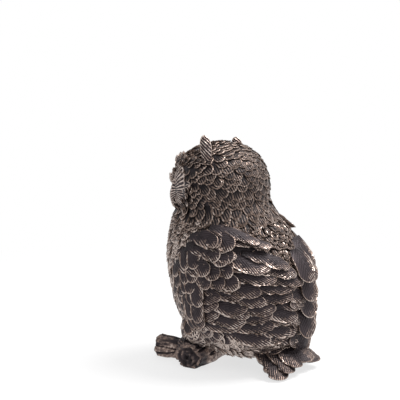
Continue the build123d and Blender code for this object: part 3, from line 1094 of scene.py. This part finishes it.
# log, side branch, feet
bark = {
    "ridge": 0.36 * mm,
    "crack": 0.9 * mm,
    "rows": 120,
    "columns": 110,
    "capRings": 14,
    "ringGap": 1.0 * mm,
    "hole": 0.55 * mm,  # radius of the hole in a cut end
    "holeAt": (1.2 * mm, 1.0 * mm),
    "logReach": 21 * mm,  # half its length
    "logGirths": np.array((6.0, 6.5, 6.1, 6.3, 6.3)) * mm,
    "stubGirths": np.array((4.9, 4.3, 4.2, 4.6)) * mm,
}


def woodPiece(name, node, start, end, girths, seed):
    # A tube whose radius is the girth plus long ridges of stretched noise and lumps, less cracks; the cut
    # ends are rings of falling radius with growth rings, knots, a bulge and a hole; whatever would pass the
    # table is flattened on it.
    length = np.linalg.norm(end - start)
    along = unit(end - start)
    rows, caps = bark["rows"], bark["capRings"]
    rise = np.concatenate((np.zeros(caps), np.linspace(0, 1, rows), np.ones(caps)))[:, None]
    opening = np.linspace(0.04, 1, caps, endpoint=False)
    closing = np.linspace(1, 0.04, caps + 1)[1:]
    shrink = np.concatenate((opening, np.ones(rows), closing))[:, None]
    turn = fullTurn(bark["columns"])[None]
    cosTurn, sinTurn = np.cos(turn), np.sin(turn)
    radius = np.interp(rise, np.linspace(0, 1, len(girths)), girths)
    circle = np.stack((rise * length + 0 * turn, cosTurn * radius * 2.2, sinTurn * radius * 2.2), -1)
    coarse = latticeNoise(circle * (0.4, 1, 1), 3.4 * mm, seed)
    fineBark = latticeNoise(circle * (0.6, 1, 1), 1.2 * mm, seed + 1)
    lumps = latticeNoise(circle, 8 * mm, seed + 2)
    line = np.abs(latticeNoise(circle * (0.16, 1, 1), 3.6 * mm, seed + 3))
    crack = np.exp(-((line / 0.10) ** 2))
    side = bark["ridge"] * (0.8 * (1 - np.abs(coarse) * 2) + 0.6 * fineBark)
    side = side + 0.8 * mm * lumps - bark["crack"] * crack
    onCap = (shrink < 1) | (rise == 0) | (rise == 1)
    out = radius * shrink + side * ease(shrink * 3 - 2) - 0.35 * mm * ((rise < 0.012) | (rise > 0.988))
    rings = np.cos(2 * np.pi * (shrink * radius + 0.35 * mm * lumps) / bark["ringGap"])
    knots = latticeNoise(circle * shrink[..., None], 4.2 * mm, seed + 4)
    holeX, holeY = bark["holeAt"]
    aside = np.hypot(cosTurn * shrink * radius - holeX, sinTurn * shrink * radius - holeY)
    hole = np.exp(-((aside / bark["hole"]) ** 2))
    press = 0.02 * mm * rings + 1.5 * mm * hole - 1.4 * mm * knots - 0.8 * mm * (1 - shrink)
    press = press * ease((1 - shrink) * 5)
    outwards = np.where(rise < 0.5, -1, 1)
    path = start + along * rise * length
    sideways = unit(np.cross(along, upward))
    up = np.cross(along, sideways)
    grid = path[:, None] + sideways * (cosTurn * out)[..., None] + up * (sinTurn * out)[..., None]
    grid = grid - along * (press * outwards)[..., None]
    grid[..., 2] = np.maximum(grid[..., 2], 0.05 * mm)
    capRim = 0.50 + 0.03 * rings - 0.5 * hole + 0.5 * knots
    rim = np.where(onCap & (shrink < 1), capRim, 0.5 + side / bark["ridge"] * 0.5)
    rim = np.where((shrink > 0.86) & onCap, 0.8, rim) - 0.7 * crack * (shrink == 1)
    return finishPiece(name, [tube(grid, {"rim": np.clip(rim, 0, 1)})], barkFinish, node)


logLow, logHigh = boxOf("log_perch")
logRadius = (logHigh[1] - logLow[1]) / 2
logAxis = np.array((0.0, (logLow[1] + logHigh[1]) / 2, logHigh[2] - logRadius))


foot = {
    "toes": ((-1, -0.10), (0, 0.02), (1, 0.12)),  # place across the foot, and lean
    "margin": 1.9 * mm,
    "share": 0.74,  # of a toe's length; the rest is claw
    "around": (-25, 84),  # degrees round the log that a toe covers
    "clawTurn": 34,
    "radius": 1.75 * mm,
    "knuckles": 3.5,
    "scute": 0.10 * mm,
    "scutes": 17,
    "claw": 1.15 * mm,
    "palm": (5.2 * mm, 4.2 * mm, 2.9 * mm),  # half width, length and height
    "wrinkle": 0.25 * mm,
    "columns": 26,
    "palmColumns": 36,
}


def footPiece(name, node, seed):
    # Three toes: a round section carried over the top of the log and down its front, swelling at each
    # knuckle, then a claw that thins to a point and curls in; a wrinkled palm joins them on top of the log.
    low, high = boxOf(node)
    centre = (low[0] + high[0]) / 2
    spread = (high[0] - low[0]) / 2 - foot["margin"]
    acrossWay = np.array((1.0, 0, 0))
    parts = []
    for k, lean in foot["toes"]:
        way = np.linspace(0, 1, 70)[:, None]
        onToe = way < foot["share"]
        bend = np.radians(blend(*foot["around"], np.clip(way / foot["share"], 0, 1)))
        beyond = np.clip((way - foot["share"]) / (1 - foot["share"]), 0, 1)
        bend = bend + np.radians(foot["clawTurn"]) * beyond
        ride = logRadius + blend(0.9, 1.3, np.sin(bend)) * mm - 0.5 * mm * beyond
        x = centre + k * spread * blend(0.75, 1.15, ease(way)) + lean * mm * 4 * way
        path = np.concatenate((x, logAxis[1] - np.sin(bend) * ride, logAxis[2] + np.cos(bend) * ride), 1)
        swelling = 1 + 0.13 * np.cos(2 * np.pi * foot["knuckles"] * way / foot["share"])
        knuckle = foot["radius"] * swelling * (1 - 0.15 * way)
        claw = foot["claw"] * (1 - beyond) ** 0.75 + 0.10 * mm
        radius = np.where(onToe, knuckle, np.minimum(claw, 1.5 * mm))
        turn = fullTurn(foot["columns"])[None]
        scute = foot["scute"] * np.cos(2 * np.pi * way * foot["scutes"] + 0 * turn) * onToe
        grid, _ = ringed(path, acrossWay, radius + scute, radius + scute, foot["columns"])
        rim = 0.5 + 1800 * scute + 0.35 * (knuckle / mm - 1.6) * onToe + 0.4 * (way > foot["share"])
        parts.append(tube(grid, {"rim": np.clip(rim + 0 * turn, 0, 1)}))
    rows = np.linspace(0.05, np.pi - 0.05, 30)[:, None]
    wide, long, tall = foot["palm"]
    middle = np.array((centre, logAxis[1], logAxis[2] + logRadius + 0.6 * mm))
    path = middle + np.cos(rows) * np.array((0, long, 0.4 * mm))
    grid, _ = ringed(path, acrossWay, wide * np.sin(rows), tall * np.sin(rows), foot["palmColumns"])
    wrinkles = latticeNoise(grid, 1.2 * mm, seed)[..., None]
    grid = grid + unit(grid - path.mean(0)) * foot["wrinkle"] * wrinkles
    parts.append(tube(grid, {"rim": 0.35 + 0 * grid[..., 0]}))
    return finishPiece(name, parts, clawFinish, node)


beak = {
    "back": 0.8 * mm,  # the root is this far behind the front of the CAD beak's box
    "below": 2.2 * mm,
    "turn": 112,  # degrees that the hook's path turns
    "ahead": 5.4 * mm,
    "down": 6.4 * mm,
    "radius": 2.7 * mm,
    "point": 0.12 * mm,
}


def beakPiece():
    # A hooked cone: its path is part of a circle that steepens, its sections are deeper than wide, and its
    # radius falls to the point as a power; the rim value is high along a keel on top.
    low, high = boxOf("beak")
    way = np.linspace(0, 1, 44)[:, None]
    root = np.array(((low[0] + high[0]) / 2, high[1] + beak["back"], high[2] - beak["below"]))
    swing = way * np.radians(beak["turn"])
    path = root + faceAhead * (np.sin(swing) * beak["ahead"]) - upward * ((1 - np.cos(swing)) * beak["down"])
    size = beak["radius"] * (1 - way) ** 0.62 + beak["point"]
    grid, turn = ringed(path, faceSide, 0.82 * size, size, 32)
    keel = np.exp(-(((turn + np.pi / 2 + np.pi) % (2 * np.pi) - np.pi) / 0.35) ** 2)
    rim = np.clip(0.35 + 0.4 * way + 0.4 * keel, 0, 1)
    return finishPiece("hooked_beak", [tube(grid, {"rim": rim})], clawFinish, "beak")


def eyePiece(name, node, sign):
    # A ball with a pressed ring at the iris and a dimple for the pupil; the ring and the bright line outside
    # it are bell curves of the angle from the gaze.
    low, high = boxOf(node)
    centre, radius = (low + high) / 2, (high[0] - low[0]) / 2
    gaze = unit(faceAhead + 0.35 * sign * faceSide)
    fall = np.linspace(0.02, np.pi - 0.02, 60)[::-1, None]
    press = 0.05 * np.exp(-(((fall - 0.62) / 0.06) ** 2)) + 0.10 * (1 - ease((fall - 0.16) / 0.12))
    path = centre - gaze * np.cos(fall) * radius * (1 - press)
    girth = np.sin(fall) * radius * (1 - press)
    grid, _ = ringed(path, upward, girth, girth, 48)
    rim = 0.3 + 0.5 * np.exp(-(((fall - 0.72) / 0.06) ** 2))
    return finishPiece(name, [tube(grid, {"rim": rim})], eyeFinish, node)


barkFinish = castBronze("bark bronze", 0.95, 1800.0, 1.3, 0.0)
clawFinish = castBronze("claw bronze", 1.7, 1900.0, 0.7, -0.08)
eyeFinish = castBronze("eye bronze", 0.8, 1200.0, 0.15, -0.22)
headPlumage()
neckRuff()
for (word, sign), middle in zip(sides, eyes):
    faceDisc(word + "_face_disc", middle, sign)
brows()
bodyPlumage()
for (word, sign), seed in zip(sides, (100, 200)):
    wingPlumage(word + "_wing_plumage", word + "_wing", sign, seed)
tailPlumage()
for word, sign in sides:
    earTuft(word + "_tuft_leaf", word + "_ear_tuft", sign)
half = np.array((bark["logReach"], 0, 0))
woodPiece("bark_log", "log_perch", logAxis - half, logAxis + half, bark["logGirths"], 61)
stubLow, stubHigh = boxOf("side_branch")
stubEnd = np.array((stubHigh[0] - 4.6 * mm, stubLow[1] + 0.4 * mm, 3.9 * mm))
stubStart = np.array((stubEnd[0] - 3.0 * mm, logAxis[1], 4.1 * mm))
woodPiece("bark_branch", "side_branch", stubStart, stubEnd, bark["stubGirths"], 71)
for (word, _), seed in zip(sides, (81, 82)):
    footPiece(word + "_toes", word + "_foot", seed)
beakPiece()
for word, sign in sides:
    eyePiece(word + "_eye_ball", word + "_eye", sign)
repaint("log_knots", barkFinish)
print("figurine ready")


# room, camera and light
view = {
    "aside": 120.0,  # degrees round from straight ahead, to the owl's left
    "distance": 420.0,  # this and the next three are in millimetres
    "height": 134.0,
    "aimAcross": -9.3,  # to the right of the neck
    "aimHeight": 68.0,
    "lens": 91.0,
    "background": 1.0,
    "brightWay": (-0.55, 0.75, 0.75),  # where most of the soft light comes from: behind and above
    "brightFill": 0.86,
    "dimFill": 0.72,
    # the soft light overhead, in metres from the neck's foot: right, towards the camera, up, and its size
    "lampRight": 0.28,
    "lampNear": -0.05,
    "lampUp": 0.55,
    "lampSize": 0.35,
    "lampPower": 5.0,
    "lampAim": 0.05,  # height that it looks at
    "table": 3.0,  # half its side
}


def addRoom():
    # the table goes over into plain white away from the figurine, so that no horizon shows
    floorMaterial, shader, wires = newMaterial("white table", {"Roughness": 0.55, "Specular IOR Level": 0.3})
    speck = wires.noise(40.0, 4.0)
    colour = speck.mixed((0.86, 0.86, 0.87), (0.90, 0.90, 0.91))
    place = wires.node("TexCoord", {}, {}, "Object")
    far = wires.node("VectorMath", {"operation": "LENGTH"}, {0: place}, "Value").eased(0.06, 0.26)
    glow = wires.node("Emission", {}, {"Color": (1.0, 1.0, 1.0, 1.0), "Strength": 1.0}, 0)
    plain = Wire(wires.tree, shader.outputs[0])
    both = wires.node("MixShader", {}, {0: far * 0.3 + 0.7, 1: plain, 2: glow}, 0)
    wires.tree.links.new(both.socket, wires.tree.nodes["Material Output"].inputs["Surface"])
    wires.tree.links.new(colour.socket, shader.inputs["Base Color"])
    n = 48
    x = np.linspace(-view["table"], view["table"], n)
    along, across = np.meshgrid(x, x, indexing="ij")
    points = np.stack((along, across, 0 * along), -1).reshape(-1, 3)
    floor = meshObject("table", points, [(gridFaces(n, n), True)])
    floor.data.materials.append(floorMaterial)
    world = bpy.data.worlds.new("studio")
    world.use_nodes = True
    sky = Wire(world.node_tree)
    seen = sky.node("LightPath", {}, {}, "Is Camera Ray")
    way = sky.node("TexCoord", {}, {}, "Generated")
    towards = tuple(float(part) for part in unit(np.array(view["brightWay"])))
    share = sky.node("VectorMath", {"operation": "DOT_PRODUCT"}, {0: way, 1: towards}, "Value")
    fill = share.eased(-0.6, 0.9) * (view["brightFill"] - view["dimFill"]) + view["dimFill"]
    strength = seen * (view["background"] - fill) + fill
    shell = world.node_tree.nodes["Background"]
    shell.inputs["Color"].default_value = (1.0, 1.0, 1.0, 1.0)
    world.node_tree.links.new(strength.socket, shell.inputs["Strength"])
    bpy.context.scene.world = world


def addLamp(foot, outwards, rightwards):
    # one soft round light overhead
    lamp = bpy.data.lights.new("overhead softbox", "AREA")
    lamp.shape = "DISK"
    lamp.size = view["lampSize"]
    lamp.energy = view["lampPower"]
    lamp.color = (1.0, 0.99, 0.97)
    place = foot + rightwards * view["lampRight"] + outwards * view["lampNear"] + upward * view["lampUp"]
    made = bpy.data.objects.new("overhead softbox", lamp)
    made.location = place
    aim = Vector(foot + upward * view["lampAim"]) - Vector(place)
    made.rotation_euler = aim.to_track_quat("-Z", "Y").to_euler()
    bpy.context.collection.objects.link(made)


def addCamera():
    # returns the point under the neck and the ways towards the camera and to its right
    turn = math.radians(view["aside"])
    outwards = np.array((math.sin(turn), -math.cos(turn), 0.0))
    rightwards = np.array((-outwards[1], outwards[0], 0.0))
    neck = np.array((0.0, neckY, 0.0))
    place = neck + outwards * view["distance"] * mm + upward * view["height"] * mm
    aim = neck + rightwards * view["aimAcross"] * mm + upward * view["aimHeight"] * mm
    lens = bpy.data.cameras.new("camera")
    lens.lens = view["lens"]
    lens.sensor_width = 36.0
    made = bpy.data.objects.new("camera", lens)
    made.location = place
    made.rotation_euler = Vector(aim - place).to_track_quat("-Z", "Y").to_euler()
    bpy.context.collection.objects.link(made)
    bpy.context.scene.camera = made
    return neck, outwards, rightwards


addRoom()
addLamp(*addCamera())
print("room ready")
bpy.context.scene.view_settings.view_transform = "Standard"
